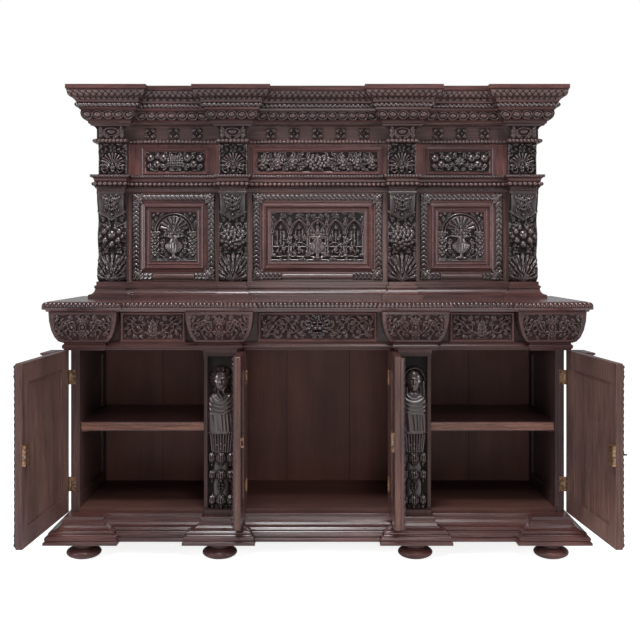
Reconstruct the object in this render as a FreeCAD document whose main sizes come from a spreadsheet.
"""Carved oak sideboard in two stages: a lower case with four doors and three frieze drawers on a stepped
plinth, and a shallower upper case with three doors and three drawers under a deep cornice. The four lower
doors stand open.

X runs along the width, Y from the front to the back and Z up, in millimetres. The floor is Z zero, and the
origin is the middle of the box that the whole piece fills as it stands, doors open.
"""
import FreeCAD, Part
import Sketcher
import math
import os
import re
from types import SimpleNamespace

os.makedirs("parts", exist_ok=True)
doc = FreeCAD.newDocument("sideboard")

# Driving sizes in millimetres, angles in degrees
SIZES = {
    # Lower case
    "case_half": 1060.0,
    "side_thick": 38.0,
    "case_depth": 540.0,
    "back_thick": 15.0,
    "foot_height": 66.0,
    "foot_radius": 73.0,
    "foot_bun": 46.0,
    "foot_bulge": 27.0,
    "foot_neck": 40.0,
    "foot_inset": 1.0,
    "plinth_height": 102.0,
    "plinth_flare": 72.0,
    "plinth_board": 60.0,
    "plinth_back_thick": 20.0,
    "floor_thick": 16.0,
    "case_height": 702.0,
    "frame_width": 70.0,
    "panel_sink": 9.0,
    "partition_thick": 26.0,
    "post_thick": 40.0,
    "post_inward": 107.0,
    "post_outward": 76.0,
    "frieze_rail_height": 32.0,
    "frieze_height": 132.0,
    "counter_thick": 42.0,
    "counter_overhang": 76.0,
    "counter_front": 98.0,
    "counter_lip": 20.0,
    "counter_step": 22.0,
    "board_gap": 0.4,
    # Blocks and pilasters, which line up one above another
    "inner_line": 412.0,
    "corner_inset": 75.0,
    "pilaster_half": 72.0,
    "pilaster_front": 79.0,
    "strip_front": 28.0,
    "strip_width": 14.0,
    "niche_board": 8.0,
    "capital_height": 28.0,
    "base_block": 22.0,
    "herm_half": 34.0,
    "herm_front": 34.0,
    "herm_swell": 22.0,
    "head_width": 74.0,
    "head_depth": 66.0,
    "head_height": 114.0,
    "pedestal_half": 80.0,
    "pedestal_front": 81.0,
    "span_front": 23.0,
    "side_return": 100.0,
    "rail_overhang": 10.0,
    "rail_block_half": 88.0,
    "rail_swell": 8.0,
    "rail_step": 18.0,
    "block_flare": 56.0,
    "block_lean": 0.5,
    "frieze_board_thick": 34.0,
    # Shelves
    "shelf_level": 345.0,
    "shelf_thick": 20.0,
    "shelf_edge": 38.0,
    "shelf_setback": 22.0,
    "shelf_lip": 18.0,
    "bearer_width": 22.0,
    "bearer_height": 24.0,
    "seat_gap": 0.3,
    # Lower doors
    "outer_meeting_gap": 4.0,
    "centre_meeting_gap": 2.0,
    "door_thick": 26.0,
    "door_stand_off": 3.2,
    "door_clear_low": 3.0,
    "door_clear_high": 4.0,
    "door_edge_gap": 6.0,
    "hinge_outset": 5.2,
    "centre_hinge_inset": 1.0,
    "left_open": 93.4,
    "right_open": 94.6,
    "centre_open": 90.0,
    "hinge_stile": 96.0,
    "free_stile": 62.0,
    "door_rail": 74.0,
    "door_sink": 6.0,
    "carved_band": 40.0,
    "band_proud": 4.0,
    "band_margin": 5.0,
    "inner_frame": 34.0,
    "relief_sink": 6.0,
    "astragal_width": 20.0,
    "astragal_proud": 10.0,
    # Hinges, locks, bolts and key
    "knuckle_radius": 4.6,
    "pin_radius": 2.2,
    "pin_clearance": 0.05,
    "leaf_thick": 1.3,
    "leaf_width": 24.0,
    "leaf_height": 62.0,
    "hinge_inset": 118.0,
    "knuckle_gap": 0.4,
    "lock_height": 78.0,
    "lock_width": 46.0,
    "lock_thick": 13.0,
    "lock_level": 350.0,
    "lock_wall": 2.0,
    "bolt_height": 16.0,
    "bolt_thick": 5.0,
    "bolt_length": 30.0,
    "bolt_throw": 8.0,
    "bolt_clear": 0.3,
    "key_radius": 3.0,
    "key_inset": 26.0,
    "key_reach": 9.0,
    "key_bow": 9.0,
    "key_bow_thick": 2.2,
    "key_bit": 6.0,
    # Frieze drawers and their runners
    "drawer_block_gap": 3.5,
    "centre_drawer_gap": 14.0,
    "drawer_front_thick": 22.0,
    "drawer_lip": 9.0,
    "drawer_wall": 11.0,
    "drawer_base": 7.0,
    "drawer_rear_gap": 144.3,
    "drawer_clear": 2.0,
    "runner_height": 18.0,
    "runner_width": 34.0,
    # Upper case
    "upper_setback": 52.0,
    "upper_line_shift": 24.0,
    "upper_side": 30.0,
    "upper_front": 354.0,
    "face_thick": 22.0,
    "upper_recess": 326.0,
    "upper_forward": 280.0,
    "upper_block_half": 57.0,
    "moulding_board": 30.0,
    "base_height": 76.0,
    "base_flare": 36.0,
    "stage_height": 411.0,
    "mid_height": 78.0,
    "mid_flare": 28.0,
    "row_height": 146.0,
    "entablature_height": 98.0,
    "entablature_flare": 39.0,
    "cornice_height": 152.0,
    "cornice_flare": 119.0,
    "console_half": 65.0,
    "console_reach": 84.0,
    "row_block_reach": 52.0,
    "upper_board": 18.0,
    "upper_stile": 18.5,
    "upper_centre_stile": 20.0,
    "upper_door_thick": 22.0,
    "upper_door_gap": 2.0,
    "upper_door_clear": 2.5,
    "upper_overlap": 16.0,
    "pivot_inset": 7.0,
    "pivot_radius": 4.0,
    "pivot_length": 14.0,
    "relief_frame": 49.0,
    "row_stile": 57.5,
    "row_centre_stile": 25.0,
    "row_shift": 7.5,
    "row_rail": 16.0,
    "upper_drawer_rear_gap": 36.3,
}
# Each facet of a round stretch of moulding turns by a quarter circle over this count
ARC_STEPS = 5
# Shares of the width at which the back boards meet
LOWER_BACK_SHARES = [-1.0, -0.705, -0.415, -0.14, 0.146, 0.415, 0.69, 1.0]
UPPER_BACK_SHARES = [-1.0, -0.62, -0.2, 0.22, 0.6, 1.0]

# Moulding outlines from the bottom up: share of the height, share of the projection, the way the surface gets
# there, and the share of the projection by which a bead swells
PLINTH_SHARES = [
    (0.0, 1.0, "flat", 0), (0.1, 1.0, "flat", 0), (0.17, 0.87, "flat", 0), (0.36, 0.78, "bead", 0.1),
    (0.41, 0.7, "flat", 0), (0.5, 0.66, "bead", 0.06), (0.53, 0.62, "flat", 0),
    (0.86, 0.08, "level_first", 0), (0.88, 0.02, "flat", 0), (0.98, 0.02, "flat", 0), (1.0, 0.0, "flat", 0),
]
RAIL_SHARES = [(0.0, 0.0, "flat", 0), (0.2, 0.2, "flat", 0), (0.8, 0.2, "bead", 0.8), (1.0, 0.0, "flat", 0)]
COUNTER_SHARES = [
    (0.0, 0.2, "flat", 0), (0.14, 0.3, "flat", 0), (0.22, 0.85, "upright_first", 0), (0.38, 1.0, "flat", 0),
    (0.42, 0.86, "flat", 0), (0.96, 0.1, "upright_first", 0), (1.0, 0.0, "flat", 0),
]
BASE_SHARES = [
    (0.0, 1.0, "flat", 0), (0.2, 1.0, "flat", 0), (0.24, 0.86, "flat", 0), (0.6, 0.24, "level_first", 0),
    (0.62, 0.34, "flat", 0), (0.74, 0.34, "flat", 0), (0.79, 0.12, "flat", 0), (0.98, 0.12, "flat", 0),
    (1.0, 0.06, "flat", 0),
]
MID_SHARES = [
    (0.0, 0.1, "flat", 0), (0.1, 0.1, "flat", 0), (0.3, 0.45, "upright_first", 0), (0.34, 0.36, "flat", 0),
    (0.58, 0.36, "bead", 0.36), (0.63, 0.46, "flat", 0), (0.83, 0.84, "upright_first", 0),
    (0.85, 1.0, "flat", 0), (1.0, 1.0, "flat", 0),
]
ENTABLATURE_SHARES = [
    (0.0, 0.12, "flat", 0), (0.18, 0.12, "bead", 0.32), (0.21, 0.06, "flat", 0), (0.8, 0.06, "flat", 0),
    (0.86, 0.8, "upright_first", 0), (0.88, 0.9, "flat", 0), (1.0, 0.9, "flat", 0),
]
CAPITAL_SHARES = [
    (0.15, 0.08, "flat", 0), (0.34, 0.1, "flat", 0), (0.84, 0.88, "upright_first", 0), (0.88, 1.0, "flat", 0),
    (1.0, 1.0, "flat", 0),
]
CORNICE_SHARES = [
    (0.0, 0.3, "flat", 0), (0.03, 0.34, "flat", 0), (0.29, 0.52, "level_first", 0), (0.31, 0.56, "flat", 0),
    (0.37, 0.57, "flat", 0), (0.385, 0.6, "flat", 0), (0.49, 0.62, "bead", 0.07), (0.52, 0.67, "flat", 0),
    (0.56, 0.69, "flat", 0), (0.65, 0.76, "upright_first", 0), (0.86, 0.95, "level_first", 0),
    (0.875, 1.0, "flat", 0), (1.0, 1.0, "flat", 0),
]
FRIEZE_BLOCK_SHARES = [(0.0, 0.04, "flat", 0), (1.0, 1.0, "level_first", 0)]
SIDE_FRIEZE_SHARES = [(0.0, 0.3, "flat", 0), (1.0, 0.85, "level_first", 0)]
# Half figure on a tapering term, from the foot up: share of the pilaster's height, share of the swell
TERM_SHARES = [
    (0.0, 0.7), (0.03, 1.0), (0.09, 1.0), (0.11, 0.3), (0.17, 0.3), (0.19, 0.95), (0.24, 1.0), (0.26, 0.35),
    (0.29, 0.9), (0.34, 1.0), (0.36, 0.25), (0.4, 0.35), (0.53, 0.75), (0.56, 0.7), (0.6, 1.0), (0.67, 0.95),
    (0.71, 0.2), (0.725, -0.6), (0.78, -0.6),
]
HEAD_SHARE = 0.8
# Side view of a console from the foot up: share of its height, share of its reach
CONSOLE_SHARES = [
    (0.0, 0.6), (0.04, 0.76), (0.1, 0.8), (0.2, 0.68), (0.32, 0.6), (0.4, 0.7), (0.5, 0.78), (0.58, 0.7),
    (0.64, 0.6), (0.72, 0.64), (0.8, 0.78), (0.88, 0.94), (0.95, 1.0), (1.0, 0.97),
]
ROW_BLOCK_SHARES = [(0.0, 0.86), (0.08, 0.92), (0.5, 0.84), (0.86, 0.92), (0.96, 1.0), (1.0, 0.95)]
HALF_SHARE = 0.5


def turned(x, y, degrees):
    """A point turned about the origin of the floor plan."""
    angle = math.radians(degrees)
    return x * math.cos(angle) - y * math.sin(angle), x * math.sin(angle) + y * math.cos(angle)


def widths(given):
    """What follows across the width from the case, the inner line of blocks and the named clearances."""
    s = SimpleNamespace(**given)
    outer_line = s.case_half - s.corner_inset
    outer_hinge_line = s.case_half + s.hinge_outset
    post_inner = s.inner_line - s.post_inward
    post_outer = s.inner_line + s.post_outward
    centre_hinge_line = post_inner + s.centre_hinge_inset
    block_edge = s.rail_block_half + s.block_flare
    upper_half = s.case_half - s.upper_setback
    upper_inner_line = s.inner_line - s.upper_line_shift
    upper_outer_line = upper_half - s.console_half
    upper_middle = (upper_inner_line + upper_outer_line) / 2
    upper_bay_half = (upper_outer_line - upper_inner_line) / 2 - s.console_half
    upper_centre_half = upper_inner_line - s.console_half
    return {
        "partition_middle": s.inner_line,
        "outer_line": outer_line,
        "outer_hinge_line": outer_hinge_line,
        "post_inner": post_inner,
        "post_outer": post_outer,
        "centre_hinge_line": centre_hinge_line,
        "outer_door_width": outer_hinge_line - s.door_edge_gap - post_outer - s.outer_meeting_gap,
        "centre_door_width": centre_hinge_line - s.door_edge_gap - s.centre_meeting_gap,
        "rail_half": s.case_half + s.rail_overhang,
        "counter_half": s.case_half + s.counter_overhang,
        "outer_drawer_middle": (s.inner_line + outer_line) / 2,
        "outer_drawer_half": (outer_line - s.inner_line) / 2 - block_edge - s.drawer_block_gap,
        "centre_drawer_half": s.inner_line - block_edge - s.centre_drawer_gap,
        "upper_half": upper_half,
        "upper_inner_line": upper_inner_line,
        "upper_outer_line": upper_outer_line,
        "upper_outer_middle": upper_middle,
        "upper_outer_door": 2 * (upper_bay_half - s.upper_stile),
        "upper_centre_door": 2 * (upper_centre_half - s.upper_centre_stile),
        "upper_row_middle": upper_middle - s.row_shift,
        "upper_row_half": upper_bay_half - s.row_stile,
        "upper_row_centre_half": upper_centre_half - s.row_centre_stile,
    }


def levels(given):
    """The heights at which each stage begins, and where the case's front plane lies in the finished frame."""
    s = SimpleNamespace(**given)
    plinth_top = s.foot_height + s.plinth_height
    frieze_bottom = plinth_top + s.case_height
    block_bottom = frieze_bottom + s.frieze_rail_height
    counter_bottom = block_bottom + s.frieze_height
    counter_top = counter_bottom + s.counter_thick
    stage_bottom = counter_top + s.base_height
    stage_top = stage_bottom + s.stage_height
    row_bottom = stage_top + s.mid_height
    row_top = row_bottom + s.row_height
    cornice_bottom = row_top + s.entablature_height
    reach = s.door_edge_gap + s.outer_door_width
    inner = -s.door_stand_off * HALF_SHARE
    outer = inner - s.door_thick - s.band_proud
    corners = [turned(reach, y, -angle)[1] for y in (inner, outer) for angle in (s.left_open, s.right_open)]
    foremost = min(corners) + inner
    rearmost = s.case_depth + s.back_thick
    return {
        "plinth_top": plinth_top,
        "floor_top": plinth_top + s.floor_thick,
        "frieze_bottom": frieze_bottom,
        "block_bottom": block_bottom,
        "counter_bottom": counter_bottom,
        "counter_top": counter_top,
        "stage_bottom": stage_bottom,
        "stage_top": stage_top,
        "row_bottom": row_bottom,
        "row_top": row_top,
        "cornice_bottom": cornice_bottom,
        "whole_height": cornice_bottom + s.cornice_height,
        "front_plane": -(foremost + rearmost) / 2,
        "door_height": s.case_height - s.door_clear_low - s.door_clear_high,
        "door_foot": plinth_top + s.door_clear_low,
        "upper_door_foot": stage_bottom + s.upper_door_clear,
        "upper_door_height": s.stage_height - 2 * s.upper_door_clear,
    }


SIZES.update(widths(SIZES))
SIZES.update(levels(SIZES))
sheet = doc.addObject("Spreadsheet::Sheet", "sizes")
for row, (alias, value) in enumerate(SIZES.items(), 1):
    sheet.set(f"A{row}", alias)
    sheet.set(f"B{row}", str(value))
    sheet.setAlias(f"B{row}", alias)
doc.recompute()
s = SimpleNamespace(**{alias: float(sheet.get(alias)) for alias in SIZES})
FORWARD = FreeCAD.Vector(0, s.front_plane, 0)
subparts = []


def cell(text):
    """An expression in which every word is read from the sheet."""
    return re.sub(r"[a-z][a-z_]*", lambda word: "sizes." + word.group(0), text)


def keep(thing, label):
    """Names a finished sub-part and lists it for writing."""
    thing.Label = label
    subparts.append(thing)
    return thing


def box(name, corner, lengths):
    """A box whose corner and sizes are expressions, in the finished frame."""
    made = doc.addObject("Part::Box", name)
    for property_name, text in zip(("Length", "Width", "Height"), lengths):
        made.setExpression(property_name, cell(text))
    for axis, text in zip("xyz", corner):
        extra = " + front_plane" if axis == "y" else ""
        made.setExpression("Placement.Base." + axis, cell(text + extra))
    return made


def group(label, members):
    """Several separate solids kept as one sub-part."""
    made = doc.addObject("Part::Compound", label + "_group")
    made.Links = members
    return keep(made, label)


def cut(name, base, tools):
    """The base with the tools taken out of it, one after another."""
    for number, tool in enumerate(tools):
        made = doc.addObject("Part::Cut", f"{name}_cut_{number}")
        made.Base = base
        made.Tool = tool
        base = made
    return base


def feature(label, shape, placement=None):
    """A sub-part whose shape is worked out here from the sheet's sizes, placed after its shape is set."""
    made = doc.addObject("Part::Feature", label)
    made.Shape = shape
    made.Placement = placement or FreeCAD.Placement(FORWARD, FreeCAD.Rotation())
    return keep(made, label)


def solid_box(x, y, z, length, width, height):
    return Part.makeBox(length, width, height, FreeCAD.Vector(x, y, z))


# Mouldings
def contour(shares, bottom, height, projection):
    """The levels of a moulding, as heights with the projection of each, from its table of shares."""
    made = []
    for high, out, way, swell in shares:
        if way != "flat":
            low, near = made[-1]
            for step in range(1, ARC_STEPS + 1):
                part = step / ARC_STEPS
                quarter = part * math.pi / 2
                if way == "bead":
                    rise, run = (1 - math.cos(part * math.pi)) / 2, part
                    bulge = swell * math.sin(part * math.pi)
                elif way == "upright_first":
                    rise, run, bulge = math.sin(quarter), 1 - math.cos(quarter), 0
                else:
                    rise, run, bulge = 1 - math.cos(quarter), math.sin(quarter), 0
                made.append((low + (high - low) * rise, near + (out - near) * run + bulge))
        else:
            made.append((high, out))
    return [(bottom + share * height, out * projection) for share, out in made]


def corner_ways(points, moulded):
    """How each corner of a right-angled outline moves when its moulded edges move outwards by one."""
    normals = []
    for number, (x, y) in enumerate(points):
        next_x, next_y = points[(number + 1) % len(points)]
        length = math.hypot(next_x - x, next_y - y)
        outward = ((next_y - y) / length, (x - next_x) / length)
        normals.append(outward if number < moulded else (0, 0))
    return [(before[0] + after[0], before[1] + after[1])
            for before, after in zip(normals[-1:] + normals[:-1], normals)]


def face_of(points):
    return Part.Face(Part.makePolygon(points + points[:1]))


def moulding(points, moulded, profile, lean=1.0):
    """A solid that follows an outline and steps with its profile. Lean scales the steps to the front."""
    ways = corner_ways(points, moulded)
    rings = []
    for z, out in profile:
        rings.append([FreeCAD.Vector(x + dx * out, y + dy * out * lean, z)
                      for (x, y), (dx, dy) in zip(points, ways)])
    faces = [face_of(rings[0]), face_of(rings[-1])]
    for low, high in zip(rings, rings[1:]):
        for i, j in zip(range(-1, len(low) - 1), range(len(low))):
            faces.append(face_of([low[i], low[j], high[j], high[i]]))
    shell = Part.makeShell(faces)
    shell.sewShape()
    solid = Part.makeSolid(shell)
    if solid.Volume < 0:
        solid.reverse()
    return solid


def break_front(half, depth, lines, block_half, recess, forward):
    """The front outline, which steps forward at each block, from the back left corner to the back right."""
    inner, outer = lines
    left = [
        (-half, depth), (-half, forward), (-outer + block_half, forward), (-outer + block_half, recess),
        (-inner - block_half, recess), (-inner - block_half, forward),
        (-inner + block_half, forward), (-inner + block_half, recess),
    ]
    return left + [(-x, y) for x, y in reversed(left)]


def hollow(points, half, depth, inside):
    """Closes an outline round an open back, so that the moulding is a frame of boards."""
    return points + [(half, depth), (half, inside), (-half, inside), (-half, depth)]


# Lower case
def feet():
    """Turned bun feet: flattened balls with a short neck, four in front and two behind."""
    places = [(line, "foot_inset - pedestal_front") for line in (
        "-outer_line", "-inner_line", "inner_line", "outer_line")]
    places += [(line, "case_depth - foot_radius") for line in ("-outer_line", "outer_line")]
    made = []
    for number, (x, y) in enumerate(places):
        ball = doc.addObject("Part::Ellipsoid", f"foot_ball_{number}")
        ball.setExpression("Radius1", cell("foot_bulge"))
        ball.setExpression("Radius2", cell("foot_radius"))
        ball.setExpression("Radius3", cell("foot_radius"))
        trim = doc.addObject("Part::Cylinder", f"foot_trim_{number}")
        neck = doc.addObject("Part::Cylinder", f"foot_neck_{number}")
        trim.setExpression("Radius", cell("foot_radius * 2"))
        trim.setExpression("Height", cell("foot_bun"))
        neck.setExpression("Radius", cell("foot_neck"))
        neck.setExpression("Height", cell("foot_height - foot_bun / 2"))
        for thing, level in ((ball, "foot_bun / 2"), (trim, "0"), (neck, "foot_bun / 2")):
            for axis, text in zip("xyz", (x, y + " + front_plane", level)):
                thing.setExpression("Placement.Base." + axis, cell(text))
        bun = doc.addObject("Part::Common", f"foot_bun_{number}")
        bun.Base = ball
        bun.Tool = trim
        foot = doc.addObject("Part::Fuse", f"foot_{number}")
        foot.Base = bun
        foot.Tool = neck
        made.append(foot)
    group("bun_feet", made)


def plinth():
    """The stepped plinth: a front that breaks forward in four pedestals, two side lengths and a back rail."""
    lines = (s.inner_line, s.outer_line)
    profile = contour(PLINTH_SHARES, s.foot_height, s.plinth_height, s.plinth_flare)
    front = break_front(s.rail_half, s.side_return, lines, s.pedestal_half, -s.span_front, -s.pedestal_front)
    inside = s.rail_half - s.plinth_board
    closed = hollow(front, inside, s.side_return, s.plinth_board - s.span_front)
    feature("plinth_front", moulding(closed, len(front) - 1, profile))
    rear = s.case_depth + s.back_thick
    made = [side_length(side, inside, s.case_half, profile) for side in (-1, 1)]
    made.append(solid_box(-inside, rear - s.plinth_back_thick, s.foot_height,
                          2 * inside, s.plinth_back_thick, s.plinth_height))
    feature("plinth_frame", Part.makeCompound(made))


def side_length(side, inner, outer, profile):
    """A length along one side of the case, behind the corner block, moulded on its outer edge alone."""
    near = s.side_return
    far = s.case_depth + s.back_thick
    first, second = (near, far) if side > 0 else (far, near)
    points = [(side * outer, first), (side * outer, second), (side * inner, second), (side * inner, first)]
    return moulding(points, 1, profile)


def attach(body, name, plane, corner):
    """A sketch on one of the body's own planes, moved by expressions within that plane's axes."""
    sketch = body.newObject("Sketcher::SketchObject", name)
    support = next(item for item in body.Origin.OriginFeatures if item.Role == plane)
    sketch.AttachmentSupport = [(support, "")]
    sketch.MapMode = "FlatFace"
    for axis, text in zip("xyz", corner):
        sketch.setExpression("AttachmentOffset.Base." + axis, cell(text))
    return sketch


def rectangle(sketch, tag, offset, size):
    """Adds a rectangle whose corner and sides are bound to expressions, to a sketch."""
    first = sketch.GeometryCount
    near, far = s.board_gap, s.door_thick
    corners = [(near, near), (far, near), (far, far), (near, far)]
    for number in range(4):
        ends = [FreeCAD.Vector(x, y, 0) for x, y in (corners[number], corners[(number + 1) % 4])]
        sketch.addGeometry(Part.LineSegment(*ends), False)
    for number in range(4):
        following = first + (number + 1) % 4
        sketch.addConstraint(Sketcher.Constraint("Coincident", first + number, 2, following, 1))
        kind = "Horizontal" if number % 2 == 0 else "Vertical"
        sketch.addConstraint(Sketcher.Constraint(kind, first + number))
    bound = [
        ("DistanceX", (first, 1, first, 2), size[0], "width_" + tag),
        ("DistanceY", (first + 1, 1, first + 1, 2), size[1], "height_" + tag),
    ]
    if offset is None:
        sketch.addConstraint(Sketcher.Constraint("Coincident", first, 1, -1, 1))
    else:
        bound.append(("DistanceX", (-1, 1, first, 1), offset[0], "right_" + tag))
        bound.append(("DistanceY", (-1, 1, first, 1), offset[1], "up_" + tag))
    for kind, ends, text, name in bound:
        number = sketch.addConstraint(Sketcher.Constraint(kind, *ends, far - near))
        sketch.renameConstraint(number, name)
        sketch.setExpression("Constraints." + name, cell(text))


def slab(body, name, plane, corner, size, depth, back=False, pocket=False, hole=None):
    """Pads or pockets a rectangle, or a frame round a rectangular hole, by an expression's depth."""
    sketch = attach(body, name + "_sketch", plane, corner)
    rectangle(sketch, "whole", None, size)
    if hole:
        rectangle(sketch, "hole", hole[:2], hole[2:])
    kind = "PartDesign::Pocket" if pocket else "PartDesign::Pad"
    made = body.newObject(kind, name)
    made.Profile = sketch
    made.Reversed = back
    made.setExpression("Length", cell(depth))
    sketch.Visibility = False
    return made


def new_body(label, placement=None):
    body = doc.addObject("PartDesign::Body", label)
    body.Placement = placement or FreeCAD.Placement(FORWARD, FreeCAD.Rotation())
    return keep(body, label)


def case_side(label, side):
    """A side of the lower case: a thick frame with a panel sunk in both faces, in two heights."""
    body = new_body(label)
    outer = "case_half" if side > 0 else "-case_half + side_thick"
    inner = "case_half - side_thick" if side > 0 else "-case_half"
    height = "counter_bottom - plinth_top"
    slab(body, "board", "YZ_Plane", ("0", "plinth_top", inner), ("case_depth", height), "side_thick")
    sunk = "case_depth - 2 * frame_width"
    stage = "(case_height - 3 * frame_width) / 2"
    for number, level in enumerate(("plinth_top + frame_width", f"plinth_top + 2 * frame_width + {stage}")):
        slab(body, f"outer_panel_{number}", "YZ_Plane", ("frame_width", level, outer), (sunk, stage),
             "panel_sink", pocket=True)
        slab(body, f"inner_panel_{number}", "YZ_Plane", ("frame_width", level, inner), (sunk, stage),
             "panel_sink", back=True, pocket=True)


def case_boards():
    """The bottom board, the two partitions, the back boards and the shelves."""
    keep(box("bottom", ("-case_half + side_thick", "0", "plinth_top"),
             ("2 * case_half - 2 * side_thick", "case_depth", "floor_thick")), "bottom_board")
    made = []
    for side in ("-partition_middle - partition_thick / 2", "partition_middle - partition_thick / 2"):
        made.append(box("partition", (side, "post_thick", "floor_top"),
                        ("partition_thick", "case_depth - post_thick", "counter_bottom - floor_top")))
    group("partitions", made)
    group("lower_back",
          back_boards(LOWER_BACK_SHARES, "case_half", "plinth_top", "counter_bottom - plinth_top"))
    made = []
    width = "case_half - side_thick - partition_middle - partition_thick / 2 - 2 * seat_gap"
    lefts = ("-case_half + side_thick + seat_gap", "partition_middle + partition_thick / 2 + seat_gap")
    for number, left in enumerate(lefts):
        level = "plinth_top + shelf_level + shelf_edge - shelf_thick"
        plain = box(f"shelf_board_{number}", (left, "shelf_setback + shelf_lip", level),
                    (width, "case_depth - shelf_setback - shelf_lip", "shelf_thick"))
        lip = box(f"shelf_lip_{number}", (left, "shelf_setback", "plinth_top + shelf_level"),
                  (width, "shelf_lip", "shelf_edge"))
        notch = shelf_notch(number, left, width)
        whole = doc.addObject("Part::Fuse", f"shelf_{number}")
        whole.Base = plain
        whole.Tool = lip
        made.append(cut(f"shelf_{number}", whole, [notch]))
    group("shelves", made)


def shelf_notch(number, left, width):
    """The shelf is cut away round the post of the pilaster that stands in its corner."""
    post_left = "-post_outer - seat_gap" if number == 0 else "partition_middle"
    length = "post_outer - partition_middle + seat_gap"
    return box(f"shelf_notch_{number}", (post_left, "0", "plinth_top"),
               (length, "post_thick + seat_gap", "case_height"))


def back_boards(shares, half, level, height):
    """Upright boards side by side, with a shrinkage gap at each joint."""
    made = []
    for low, high in zip(shares, shares[1:]):
        corner = (f"{low} * {half} + board_gap / 2", "case_depth", level)
        made.append(box("back_board", corner, (f"{high - low} * {half} - board_gap", "back_thick", height)))
    return made


def supports():
    """Strips that carry the shelves and the frieze drawers."""
    made = []
    bay_left = "-case_half + side_thick"
    bay_right = "partition_middle + partition_thick / 2"
    for wall in (bay_left, "-partition_middle - partition_thick / 2 - bearer_width", bay_right,
                 "case_half - side_thick - bearer_width"):
        level = "plinth_top + shelf_level + shelf_edge - shelf_thick - bearer_height"
        start = "post_thick + seat_gap" if "partition" in wall else "shelf_setback + shelf_lip + seat_gap"
        made.append(box("shelf_bearer", (wall, start, level),
                        ("bearer_width", f"case_depth - {start.replace(' + ', ' - ')}", "bearer_height")))
    for edge, width in drawer_walls():
        made.append(box("drawer_runner", (f"{edge} - {width}", "0", "block_bottom - runner_height"),
                        ("runner_width", "case_depth", "runner_height")))
    group("runners", made)


def drawer_walls():
    """The lower edge of each runner: one under each side of each frieze drawer, as a place and a shift."""
    places = []
    for middle in ("-outer_drawer_middle", "outer_drawer_middle"):
        places.append((f"{middle} - outer_drawer_half", "0"))
        places.append((f"{middle} + outer_drawer_half", "runner_width"))
    places.append(("-centre_drawer_half", "0"))
    places.append(("centre_drawer_half", "runner_width"))
    return places


def niche(middle, foot, top, back):
    """A pilaster with a sunk ground between two edge strips, under a stepped capital and on a block."""
    half = s.pilaster_half
    made = solid_box(middle - half, back - s.niche_board, foot, 2 * half, s.niche_board, top - foot)
    for left in (middle - half, middle + half - s.strip_width):
        strip = solid_box(left, back - s.strip_front, foot, s.strip_width, s.strip_front, top - foot)
        made = made.fuse(strip)
    layers = 3
    for number in range(layers):
        share = (number + 1) / layers
        front = s.strip_front + (s.pilaster_front - s.strip_front) * share
        low = top - s.capital_height * (layers - number) / layers
        layer = solid_box(middle - half, back - front, low, 2 * half, front, s.capital_height / layers)
        made = made.fuse(layer)
    block_front = (s.pilaster_front + s.strip_front) / 2
    made = made.fuse(solid_box(middle - half, back - block_front, foot, 2 * half, block_front, s.base_block))
    return made.removeSplitter()


def figure(middle, foot, top, back):
    """A half figure on a tapering term: the trunk follows a table of shares, and the head is an ovoid."""
    ground = back - s.niche_board
    low = foot + s.base_block
    high = top - s.capital_height
    front = back - s.herm_front
    points = [(middle - s.herm_half, ground), (middle - s.herm_half, front), (middle + s.herm_half, front),
              (middle + s.herm_half, ground)]
    profile = [(low + share * (high - low), swell * s.herm_swell) for share, swell in TERM_SHARES]
    trunk = moulding(points, 3, profile)
    head = Part.makeSphere(s.head_width / 2)
    matrix = FreeCAD.Matrix()
    matrix.scale(1, s.head_depth / s.head_width, s.head_height / s.head_width)
    head = head.transformGeometry(matrix)
    level = low + HEAD_SHARE * (high - low)
    head.translate(FreeCAD.Vector(middle, front + s.herm_front * HALF_SHARE - s.niche_board, level))
    board = solid_box(middle - s.pilaster_half, ground, low, 2 * s.pilaster_half, s.head_depth, high - low)
    return trunk.fuse(head.cut(board)).removeSplitter()


def pilasters():
    """The two fixed pilasters between the bays, each with its post, and the figures that stand in them."""
    for label, side in (("left", -1), ("right", 1)):
        middle = side * s.inner_line
        edge = s.post_inner if side > 0 else -s.post_outer
        post = solid_box(edge, 0, s.floor_top, s.post_outer - s.post_inner, s.post_thick,
                         s.counter_bottom - s.floor_top)
        mortise_width = s.bolt_throw + s.bolt_length
        mortise_left = s.post_outer - mortise_width if side > 0 else -s.post_outer
        level = s.door_foot + s.lock_level
        height = s.bolt_height + 4 * s.bolt_clear
        depth = s.lock_thick
        mortise = solid_box(mortise_left, -s.seat_gap, level - height / 2, mortise_width, depth, height)
        cuts = [mortise]
        for low in hinge_levels():
            place = FreeCAD.Vector(side * s.centre_hinge_line, -s.door_stand_off / 2,
                                   s.door_foot + low - s.knuckle_gap)
            reach = s.knuckle_radius + s.knuckle_gap
            cuts.append(Part.makeCylinder(reach, s.leaf_height + 2 * s.knuckle_gap, place))
        whole = post.fuse(niche(middle, s.plinth_top, s.frieze_bottom, 0)).cut(cuts)
        feature("pilaster_" + label, whole.removeSplitter())
        feature("herm_" + label, figure(middle, s.plinth_top, s.frieze_bottom, 0))


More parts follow.
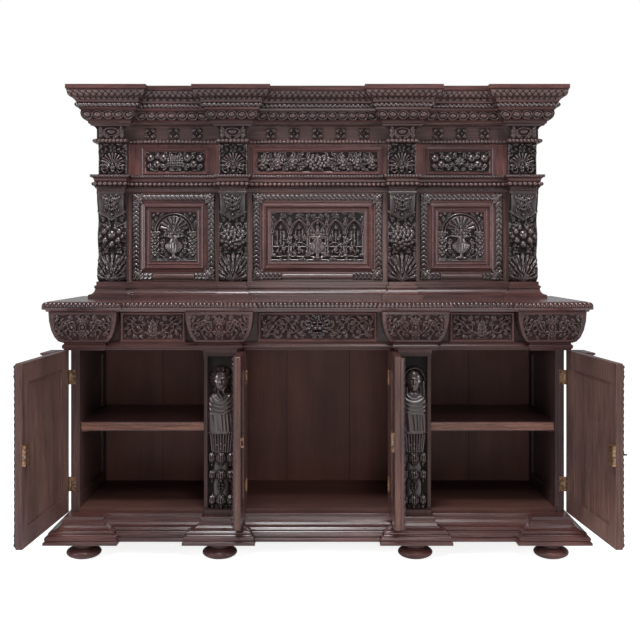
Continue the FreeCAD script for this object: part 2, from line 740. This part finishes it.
# Frieze
def frieze():
    """The rail over the doors, the board behind the drawers, four swelling blocks and the side lengths."""
    lines = (s.inner_line, s.outer_line)
    block_front = s.pilaster_front
    rail = break_front(s.rail_half, s.side_return, lines, s.rail_block_half, s.rail_step - block_front,
                       -block_front)
    inside = s.case_half + s.seat_gap
    closed = rail + [(inside, s.side_return), (inside, 0), (-inside, 0), (-inside, s.side_return)]
    profile = contour(RAIL_SHARES, s.frieze_bottom, s.frieze_rail_height, s.rail_swell)
    feature("frieze_rail", moulding(closed, len(rail) - 1, profile))

    board = box("frieze_front", ("-case_half", "-frieze_board_thick", "block_bottom"),
                ("2 * case_half", "frieze_board_thick", "frieze_height"))
    tools = []
    for middle, half in drawer_places():
        tools.append(box("drawer_opening",
                         (f"{middle} - {half}", "-2 * frieze_board_thick", "block_bottom - board_gap"),
                         (f"2 * {half}", "3 * frieze_board_thick", "frieze_height - drawer_lip")))
    keep(cut("frieze_front", board, tools), "frieze_board")

    profile = contour(FRIEZE_BLOCK_SHARES, s.block_bottom, s.frieze_height, s.block_flare)
    half = s.rail_block_half
    back = -s.frieze_board_thick
    for number, line in enumerate((-s.outer_line, -s.inner_line, s.inner_line, s.outer_line), 1):
        left, right = line - half, line + half
        if number in (2, 3):
            points = [(left, back), (left, -block_front), (right, -block_front), (right, back)]
        elif number == 1:
            points = [(left, s.side_return), (left, -block_front), (right, -block_front), (right, back),
                      (-inside, back), (-inside, s.side_return)]
        else:
            points = [(left, back), (left, -block_front), (right, -block_front), (right, s.side_return),
                      (inside, s.side_return), (inside, back)]
        feature(f"frieze_block_{number}", moulding(points, 3, profile, s.block_lean))

    profile = contour(SIDE_FRIEZE_SHARES, s.frieze_bottom, s.counter_bottom - s.frieze_bottom, s.block_flare)
    made = [side_length(side, inside, inside + s.seat_gap, profile) for side in (-1, 1)]
    feature("frieze_sides", Part.makeCompound(made))


def drawer_places():
    """Middle and half width of the opening of each frieze drawer, as expressions."""
    return [
        ("-outer_drawer_middle", "(outer_drawer_half - drawer_lip)"),
        ("0", "(centre_drawer_half - drawer_lip)"),
        ("outer_drawer_middle", "(outer_drawer_half - drawer_lip)"),
    ]


def drawer(label, middle, front_half, front_y, foot, front_height, box_depth, box_height, slack):
    """An open box behind a front that laps over the opening. All but the label are expressions."""
    body = new_body(label)
    box_half = f"({front_half} - drawer_lip - {slack})"
    slab(body, "front", "XZ_Plane", (f"{middle} - {front_half}", foot, f"-({front_y}) - drawer_front_thick"),
         (f"2 * {front_half}", front_height), "drawer_front_thick")
    slab(body, "box", "XZ_Plane",
         (f"{middle} - {box_half}", f"{foot} + board_gap", f"-({front_y}) - drawer_front_thick"),
         (f"2 * {box_half}", box_height), box_depth, back=True)
    well = (f"{middle} - {box_half} + drawer_wall", f"{front_y} + drawer_front_thick",
            f"{foot} + board_gap + drawer_base")
    slab(body, "well", "XY_Plane", well,
         (f"2 * {box_half} - 2 * drawer_wall", f"{box_depth} - drawer_wall"), box_height, back=True,
         pocket=True)
    return body


def drawers():
    """Three frieze drawers, and three in the upper row."""
    half_of = {"left": ("-outer_drawer_middle", "outer_drawer_half"), "centre": ("0", "centre_drawer_half"),
               "right": ("outer_drawer_middle", "outer_drawer_half")}
    for name, (middle, half) in half_of.items():
        drawer("frieze_drawer_" + name, middle, half, "-frieze_board_thick - drawer_front_thick - seat_gap",
               "block_bottom + board_gap", "frieze_height - drawer_clear",
               "case_depth + frieze_board_thick + seat_gap - drawer_rear_gap",
               "frieze_height - drawer_lip - 2 * drawer_clear", "drawer_clear")
    half_of = {"left": ("-upper_row_middle", "upper_row_half"), "centre": ("0", "upper_row_centre_half"),
               "right": ("upper_row_middle", "upper_row_half")}
    for name, (middle, half) in half_of.items():
        drawer("upper_drawer_" + name, middle, half, "upper_front - drawer_front_thick - seat_gap",
               "row_bottom + board_gap", "row_height - row_rail",
               "case_depth - upper_front + seat_gap - upper_drawer_rear_gap",
               "row_height - row_rail - drawer_lip - 2 * drawer_clear", "drawer_clear")


def countertop():
    """The thick top of the lower case, which breaks forward over the four blocks."""
    lines = (s.inner_line, s.outer_line)
    block_half = s.rail_block_half + s.block_flare
    points = break_front(s.counter_half, s.case_depth + s.back_thick, lines, block_half,
                         s.counter_step - s.counter_front, -s.counter_front)
    profile = contour(COUNTER_SHARES, s.counter_bottom, s.counter_thick, s.counter_lip)
    feature("countertop", moulding(points, len(points) - 1, profile))


# Lower doors
def hung(line, degrees):
    """Where a body that is drawn about its hinge line goes when the door stands open by this angle."""
    place = FreeCAD.Vector(line, s.front_plane - s.door_stand_off * HALF_SHARE, s.door_foot)
    return FreeCAD.Placement(place, FreeCAD.Rotation(FreeCAD.Vector(0, 0, 1), degrees))


def across(run, start, width):
    """The lower edge of something that starts this far from the hinge line and runs to either side."""
    return start if run > 0 else f"-({start}) - ({width})"


def lower_door(label, placement, run, width, carve_start, margin, astragal=False):
    """A door: a slab with a sunk panel inside, and outside a raised carved band, a frame and a sunk relief."""
    body = new_body(label, placement)
    inside = "door_stand_off / 2"
    slab(body, "slab", "XZ_Plane", (across(run, "door_edge_gap", width), "0", inside),
         (width, "door_height"), "door_thick")
    panel_width = f"{width} - hinge_stile - free_stile"
    start = "door_edge_gap + hinge_stile"
    slab(body, "inner_panel", "XZ_Plane", (across(run, start, panel_width), "door_rail", inside),
         (panel_width, "door_height - 2 * door_rail"), "door_sink", back=True, pocket=True)
    face = "door_stand_off / 2 + door_thick"
    field = f"{width} + door_edge_gap - ({carve_start}) - {margin}"
    tall = "door_height - 2 * band_margin"
    slab(body, "band", "XZ_Plane", (across(run, carve_start, field), "band_margin", face), (field, tall),
         "band_proud",
         hole=("carved_band", "carved_band", f"{field} - 2 * carved_band", f"{tall} - 2 * carved_band"))
    edge = "carved_band + inner_frame"
    relief = f"{field} - 2 * ({edge})"
    slab(body, "relief", "XZ_Plane",
         (across(run, f"{carve_start} + {edge}", relief), f"band_margin + {edge}", face),
         (relief, f"{tall} - 2 * ({edge})"), "relief_sink", pocket=True)
    if astragal:
        middle = "centre_hinge_line - astragal_width / 2"
        slab(body, "astragal", "XZ_Plane", (across(run, middle, "astragal_width"), "band_margin", face),
             ("astragal_width", tall), "astragal_proud")
    return body


def keyed(body, run, width):
    """The hole that the key's shank goes through."""
    sketch = attach(body, "keyhole_sketch", "XZ_Plane",
                    (across(run, f"door_edge_gap + {width} - key_inset", "0"), "lock_level", "0"))
    round_hole(body, "keyhole", sketch, "key_radius", "door_thick + door_stand_off + band_proud")


def round_hole(body, name, sketch, radius, depth):
    """Pockets a round hole for a running fit on a pin of this radius, centred on the sketch's origin."""
    sketch.addGeometry(Part.Circle(FreeCAD.Vector(0, 0, 0), FreeCAD.Vector(0, 0, 1), s.pin_radius), False)
    sketch.addConstraint(Sketcher.Constraint("Coincident", 0, 3, -1, 1))
    number = sketch.addConstraint(Sketcher.Constraint("Radius", 0, s.pin_radius))
    sketch.renameConstraint(number, "radius")
    sketch.setExpression("Constraints.radius", cell(radius + " + pin_clearance"))
    hole = body.newObject("PartDesign::Pocket", name)
    hole.Profile = sketch
    hole.Reversed = True
    hole.setExpression("Length", cell(depth))


def knuckle(x, y, low, height, bore):
    """One barrel of a hinge, with or without the hole for the pin."""
    made = Part.makeCylinder(s.knuckle_radius, height, FreeCAD.Vector(x, y, low))
    if bore:
        hole = Part.makeCylinder(s.pin_radius + s.pin_clearance, height, FreeCAD.Vector(x, y, low))
        made = made.cut(hole)
    return made


def leaf(run, low, height, back):
    """A hinge leaf beside its hinge line. Back is its rear face's distance behind that line."""
    left = s.pin_radius if run > 0 else -s.pin_radius - s.leaf_width
    return solid_box(left, back - s.leaf_thick, low, s.leaf_width, s.leaf_thick, height)


def hinge_levels():
    """The foot of each of a door's two hinges, above the door's own foot."""
    return (s.hinge_inset - s.leaf_height / 2, s.door_height - s.hinge_inset - s.leaf_height / 2)


def fixed_hinge(run, low):
    """The case's half of a hinge: its leaf with two barrels and the pin."""
    third = s.leaf_height / 3
    made = leaf(run, low, s.leaf_height, s.door_stand_off * HALF_SHARE)
    for start in (low, low + s.leaf_height - third):
        made = made.fuse(knuckle(0, 0, start, third - s.knuckle_gap, False))
    pin = Part.makeCylinder(s.pin_radius, s.leaf_height, FreeCAD.Vector(0, 0, low))
    middle = solid_box(-s.knuckle_radius * 2, -s.knuckle_radius * 2, low + third - s.knuckle_gap,
                       s.leaf_width * 2, s.knuckle_radius * 4, third + 2 * s.knuckle_gap)
    left = -s.leaf_width * 2 if run < 0 else 0
    clearing = solid_box(left, -s.knuckle_radius * 2, low + third - s.knuckle_gap, s.leaf_width * 2,
                         s.knuckle_radius * 4, third + 2 * s.knuckle_gap)
    reach = s.knuckle_radius + s.knuckle_gap
    near = Part.makeCylinder(reach, third + 2 * s.knuckle_gap,
                             FreeCAD.Vector(0, 0, low + third - s.knuckle_gap))
    return made.cut(near.common(clearing.fuse(middle))).fuse(pin).removeSplitter()


def moving_hinge(run, low):
    """The door's half of a hinge: its leaf with the middle barrel, bored for the pin."""
    third = s.leaf_height / 3
    back = -s.door_stand_off * HALF_SHARE + s.leaf_thick
    made = leaf(run, low, s.leaf_height, back)
    tall = s.leaf_height
    reach = s.knuckle_radius + s.knuckle_gap
    made = made.cut(Part.makeCylinder(reach, tall, FreeCAD.Vector(0, 0, low)))
    start = low + third
    height = third - s.knuckle_gap
    arm_left = 0 if run > 0 else -reach - s.knuckle_gap
    arm = solid_box(arm_left, back - s.leaf_thick, start, reach + s.knuckle_gap, s.leaf_thick, height)
    barrel = Part.makeCylinder(s.knuckle_radius, height, FreeCAD.Vector(0, 0, start)).fuse(arm)
    hole = Part.makeCylinder(s.pin_radius + s.pin_clearance, tall, FreeCAD.Vector(0, 0, low))
    return made.fuse(barrel).cut(hole).removeSplitter()


def lock_case(run, width):
    """A flat lock case on the door's inner face by its free edge, hollow for the bolt and the key's bit."""
    free = s.door_edge_gap + width
    back = -s.door_stand_off * HALF_SHARE
    left = free - s.lock_width if run > 0 else -free
    low = s.lock_level - s.lock_height / 2
    made = solid_box(left, back, low, s.lock_width, s.lock_thick, s.lock_height)
    slot_length = s.bolt_length + s.lock_wall
    slot_left = free - slot_length if run > 0 else -free
    slot_height = s.bolt_height + 2 * s.bolt_clear
    slot_depth = s.bolt_thick + 2 * s.bolt_clear
    near = back + s.lock_thick - s.lock_wall - slot_depth
    slot = solid_box(slot_left, near, s.lock_level - slot_height / 2, slot_length, slot_depth, slot_height)
    reach = s.key_bit + s.key_radius + s.bolt_clear
    middle = FreeCAD.Vector(run * (free - s.key_inset), back, s.lock_level)
    room = Part.makeCylinder(reach, near - back - s.bolt_clear, middle, FreeCAD.Vector(0, 1, 0))
    return made.cut([slot, room]).removeSplitter()


def bolt(run, width):
    """The lock's sliding bolt, drawn back."""
    free = s.door_edge_gap + width
    back = -s.door_stand_off * HALF_SHARE
    near = back + s.lock_thick - s.lock_wall - s.bolt_thick - s.bolt_clear
    left = free - s.bolt_length if run > 0 else -free
    return solid_box(left, near, s.lock_level - s.bolt_height / 2, s.bolt_length, s.bolt_thick, s.bolt_height)


def keeper(run, width):
    """The plate on the other centre door that the bolt slides behind."""
    free = s.door_edge_gap + width
    back = -s.door_stand_off * HALF_SHARE
    side = s.lock_width * HALF_SHARE
    left = free - side if run > 0 else -free
    tall = s.lock_height * HALF_SHARE
    made = solid_box(left, back, s.lock_level - tall / 2, side, s.lock_thick, tall)
    gap = s.bolt_height + 4 * s.bolt_clear
    way = solid_box(left - side, back + s.lock_wall, s.lock_level - gap / 2, 3 * side,
                    s.lock_thick - 2 * s.lock_wall, gap)
    return made.cut(way)


def key_shape(run, width):
    """The key in its lock: a shank with a ring bow in front of the door and a bit inside the case."""
    x = run * (s.door_edge_gap + width - s.key_inset)
    back = -s.door_stand_off * HALF_SHARE
    face = back - s.door_thick
    bit_depth = s.lock_thick - 2 * s.lock_wall - s.bolt_thick - 4 * s.bolt_clear
    length = s.key_reach + s.door_thick + bit_depth
    axis = FreeCAD.Vector(0, 1, 0)
    start = FreeCAD.Vector(x, face - s.key_reach, s.lock_level)
    made = Part.makeCylinder(s.key_radius, length, start, axis)
    bow = Part.makeTorus(s.key_bow, s.key_bow_thick)
    bow_y = face - s.key_reach - s.key_bow + s.key_bow_thick * HALF_SHARE
    bow.translate(FreeCAD.Vector(x, bow_y, s.lock_level))
    bit = solid_box(x - s.key_bow_thick / 2, back + s.bolt_clear, s.lock_level, s.key_bow_thick,
                    bit_depth - s.bolt_clear, s.key_bit + s.key_radius)
    return made.fuse(bow).fuse(bit).removeSplitter()


def door_herm(label, placement, run):
    """The pilaster with its figure that rides on the outside of an outer door, over the hinges."""
    middle = run * (s.outer_hinge_line - s.outer_line)
    back = -s.door_stand_off * HALF_SHARE - s.door_thick
    front = s.pilaster_front
    foot, top = 0, s.door_height
    shape = niche(middle, foot, top, back).fuse(figure(middle, foot, top, back))
    limit = solid_box(middle - s.pilaster_half, -front, foot, 2 * s.pilaster_half, front, top)
    feature(label, shape.common(limit).removeSplitter(), placement)


def lower_doors():
    """The two wide outer doors and the two narrow centre doors, with everything that rides on them."""
    fixed = []
    doors = [
        ("left", "outer", -s.outer_hinge_line, 1, -s.left_open),
        ("right", "outer", s.outer_hinge_line, -1, s.right_open),
        ("centre_left", "centre", -s.centre_hinge_line, 1, -s.centre_open),
        ("centre_right", "centre", s.centre_hinge_line, -1, s.centre_open),
    ]
    for name, kind, line, run, angle in doors:
        placement = hung(line, angle)
        still = hung(line, 0)
        width_name = kind + "_door_width"
        width = getattr(s, width_name)
        if kind == "outer":
            start = "outer_hinge_line - outer_line + pilaster_half + band_margin"
            margin = "band_margin"
        else:
            start = "door_edge_gap + band_margin"
            margin = "(astragal_width / 2 + band_margin)"
        body = lower_door("door_" + name, placement, run, width_name, start, margin, name == "centre_right")
        if name != "centre_left":
            keyed(body, run, width_name)
        side = run if kind == "outer" else -run
        for low in hinge_levels():
            half = fixed_hinge(side, low)
            half.Placement = still
            fixed.append(half)
        brass = [moving_hinge(run, low) for low in hinge_levels()]
        if name == "centre_left":
            brass.append(keeper(run, width))
        else:
            brass.append(lock_case(run, width))
            feature("bolt_" + name, bolt(run, width), placement)
        feature("brass_" + name, Part.makeCompound(brass), placement)
        if name == "right":
            feature("key", key_shape(run, width), placement)
        if kind == "outer":
            door_herm("door_herm_" + name, placement, run)
    feature("hinge_plates", Part.makeCompound(fixed), FreeCAD.Placement())


# Upper case
def upper_outline():
    lines = (s.upper_inner_line, s.upper_outer_line)
    return break_front(s.upper_half, s.case_depth + s.back_thick, lines, s.upper_block_half, s.upper_recess,
                       s.upper_forward)


def upper_mouldings():
    """The base, the middle moulding, the entablature and the cornice, each a frame with an open back."""
    points = upper_outline()
    inside = s.upper_half - s.upper_side
    stages = [
        ("upper_base", BASE_SHARES, s.counter_top, s.base_height, s.base_flare, s.upper_front),
        ("middle_moulding", MID_SHARES, s.stage_top, s.mid_height, s.mid_flare, s.upper_front),
        ("entablature", ENTABLATURE_SHARES, s.row_top, s.entablature_height, s.entablature_flare,
         s.upper_front),
        ("cornice", CORNICE_SHARES, s.cornice_bottom, s.cornice_height, s.cornice_flare,
         s.upper_recess + s.moulding_board),
    ]
    for label, shares, bottom, height, flare, back in stages:
        closed = hollow(points, inside, s.case_depth + s.back_thick, back)
        solid = moulding(closed, len(points) - 1, contour(shares, bottom, height, flare))
        if label in ("upper_base", "middle_moulding"):
            solid = solid.cut(Part.makeCompound(pivot_shapes(s.pivot_radius)))
        if label == "entablature":
            solid = solid.fuse(capitals()).removeSplitter()
        feature(label, solid)


def capitals():
    """The flaring capitals that the entablature has over each block."""
    profile = contour(CAPITAL_SHARES, s.row_top, s.entablature_height, s.entablature_flare)
    made = []
    for line in (-s.upper_outer_line, -s.upper_inner_line, s.upper_inner_line, s.upper_outer_line):
        left, right = line - s.upper_block_half, line + s.upper_block_half
        points = [(left, s.upper_recess), (left, s.upper_forward), (right, s.upper_forward),
                  (right, s.upper_recess)]
        made.append(moulding(points, 3, profile))
    return made


def pivot_shapes(radius):
    """A pin above and below each upper door, on its pivot line."""
    made = []
    for _, line, run, _ in upper_doors():
        for low in (s.stage_bottom, s.stage_top):
            place = FreeCAD.Vector(line + run * s.pivot_inset, pivot_y(), low - s.pivot_length)
            made.append(Part.makeCylinder(radius, 2 * s.pivot_length, place))
    return made


def pivot_y():
    return s.upper_front - s.upper_door_gap - s.upper_door_thick + s.pivot_inset


def upper_doors():
    """Name, hinge side edge, the way it runs from there and the width of each upper door."""
    outer = s.upper_outer_middle + s.upper_outer_door / 2
    return [
        ("left", -outer, 1, "upper_outer_door"),
        ("centre", -s.upper_centre_door / 2, 1, "upper_centre_door"),
        ("right", outer, -1, "upper_outer_door"),
    ]


def upper_case():
    """Face frame, sides, partitions, boards and back of the upper case."""
    face = box("face_board", ("-upper_half + upper_side", "upper_front", "stage_bottom"),
               ("2 * upper_half - 2 * upper_side", "face_thick", "cornice_bottom - stage_bottom"))
    tools = []
    places = [
        ("-upper_outer_middle", "(upper_outer_door / 2)", "-upper_row_middle", "upper_row_half"),
        ("0", "(upper_centre_door / 2)", "0", "upper_row_centre_half"),
        ("upper_outer_middle", "(upper_outer_door / 2)", "upper_row_middle", "upper_row_half"),
    ]
    for door_middle, door_half, row_middle, row_half in places:
        start = "upper_front - face_thick"
        depth = "3 * face_thick"
        tools.append(box("door_opening",
                         (f"{door_middle} - {door_half} + upper_overlap", start, "stage_bottom + upper_overlap"),
                         (f"2 * {door_half} - 2 * upper_overlap", depth, "stage_height - 2 * upper_overlap")))
        tools.append(box("row_opening", (f"{row_middle} - {row_half} + drawer_lip", start, "row_bottom"),
                         (f"2 * {row_half} - 2 * drawer_lip", depth, "row_height - row_rail - drawer_lip")))
    keep(cut("face", face, tools), "face_frame")
    inner_depth = "case_depth - upper_front - face_thick"
    start = "upper_front + face_thick"
    deep = "case_depth - upper_front"
    sides = [box("upper_side_board", (x, "upper_front", low), ("upper_side", deep, height))
             for x in ("-upper_half", "upper_half - upper_side")
             for low, height in (("stage_bottom", "stage_height"), ("row_bottom", "row_height"))]
    group("upper_sides", sides)
    wide = "2 * upper_half - 2 * upper_side"
    boards = [box("upper_shelf", ("-upper_half + upper_side", start, z), (wide, inner_depth, "upper_board"))
              for z in ("stage_bottom", "row_bottom - upper_board", "cornice_bottom - upper_board")]
    spans = (("stage_bottom + upper_board", "row_bottom - stage_bottom - 2 * upper_board"),
             ("row_bottom", "cornice_bottom - row_bottom - upper_board"))
    for x in ("-upper_inner_line - upper_board / 2", "upper_inner_line - upper_board / 2"):
        for low, height in spans:
            boards.append(box("upper_partition", (x, start, low), ("upper_board", inner_depth, height)))
    group("upper_boards", boards)
    group("upper_back", back_boards(UPPER_BACK_SHARES, "(upper_half - upper_side)", "counter_top",
                                    "whole_height - counter_top"))
    feature("pivot_pins", Part.makeCompound(pivot_shapes(s.pivot_radius)))


def side_view(label, middle, half, bottom, height, reach, shares):
    """A block whose side view is a curve through shares of its height and reach, padded across its width."""
    body = new_body(label)
    back = s.upper_front
    sketch = attach(body, "side_view", "YZ_Plane", ("0", "0", f"{middle}"))
    points = [FreeCAD.Vector(back, bottom + height, 0), FreeCAD.Vector(back, bottom, 0)]
    points += [FreeCAD.Vector(back - reach * out, bottom + height * up, 0) for up, out in shares]
    curve = Part.BSplineCurve()
    curve.interpolate(points[2:])
    sketch.addGeometry(Part.LineSegment(points[-1], points[0]), False)
    sketch.addGeometry(Part.LineSegment(points[0], points[1]), False)
    sketch.addGeometry(Part.LineSegment(points[1], points[2]), False)
    sketch.addGeometry(curve, False)
    for first, second in ((0, 1), (1, 2)):
        sketch.addConstraint(Sketcher.Constraint("Coincident", first, 2, second, 1))
    pad = body.newObject("PartDesign::Pad", "width")
    pad.Profile = sketch
    pad.Midplane = True
    pad.setExpression("Length", cell(f"2 * {half}"))


def consoles():
    """Four consoles between the upper doors, and four blocks above them in the drawer row."""
    lines = ("-upper_outer_line", "-upper_inner_line", "upper_inner_line", "upper_outer_line")
    for number, line in enumerate(lines, 1):
        side_view(f"console_{number}", line, "console_half", s.stage_bottom, s.stage_height, s.console_reach,
                  CONSOLE_SHARES)
    made = []
    for line in (-s.upper_outer_line, -s.upper_inner_line, s.upper_inner_line, s.upper_outer_line):
        front = [(s.upper_front - s.row_block_reach * out, s.row_bottom + s.row_height * up)
                 for up, out in ROW_BLOCK_SHARES]
        outline = [(s.upper_front, s.row_top), (s.upper_front, s.row_bottom)] + front
        points = [FreeCAD.Vector(line - s.console_half, y, z) for y, z in outline]
        made.append(face_of(points).extrude(FreeCAD.Vector(2 * s.console_half, 0, 0)))
    feature("row_blocks", Part.makeCompound(made))


def upper_door(name, edge, run, width):
    """An upper door on its pivot line: a slab with a raised carved band, a raised frame and a sunk relief."""
    place = FreeCAD.Vector(edge + run * s.pivot_inset, s.front_plane + pivot_y(), s.upper_door_foot)
    body = new_body("upper_door_" + name, FreeCAD.Placement(place, FreeCAD.Rotation()))
    start = "-pivot_inset"
    back = "pivot_inset - upper_door_thick"
    slab(body, "slab", "XZ_Plane", (across(run, start, width), "0", back), (width, "upper_door_height"),
         "upper_door_thick")
    tall = "upper_door_height"
    slab(body, "band", "XZ_Plane", (across(run, start, width), "0", "pivot_inset"), (width, tall),
         "band_proud",
         hole=("carved_band", "carved_band", f"{width} - 2 * carved_band", f"{tall} - 2 * carved_band"))
    edge_width = "carved_band + relief_frame"
    relief = f"{width} - 2 * ({edge_width})"
    slab(body, "relief", "XZ_Plane",
         (across(run, f"{start} + {edge_width}", relief), edge_width, "pivot_inset"),
         (relief, f"{tall} - 2 * ({edge_width})"), "relief_sink", pocket=True)
    for number, low in enumerate(("0", "upper_door_height - pivot_length")):
        bore(body, f"pivot_{number}", low)


def bore(body, name, low):
    """The hole in a door's end that turns on a pivot pin."""
    sketch = attach(body, name + "_sketch", "XY_Plane", ("0", "0", low))
    round_hole(body, name, sketch, "pivot_radius", "pivot_length")


feet()
plinth()
case_side("side_left", -1)
case_side("side_right", 1)
case_boards()
supports()
pilasters()
frieze()
drawers()
countertop()
lower_doors()
upper_mouldings()
upper_case()
consoles()
for door_name, door_edge, door_run, door_width in upper_doors():
    upper_door(door_name, door_edge, door_run, door_width)

doc.recompute()
failed = [item.Name for item in doc.Objects if {"Invalid", "Error"} & set(item.State)]
for item in subparts:
    if item.Shape.isNull() or not item.Shape.isValid() or item.Shape.Volume <= 0:
        failed.append(item.Label)
if failed:
    raise RuntimeError("not built: " + ", ".join(failed))
for item in subparts:
    item.Shape.exportStep(os.path.join("parts", item.Label + ".step"))
print(len(subparts), "sub-parts written")
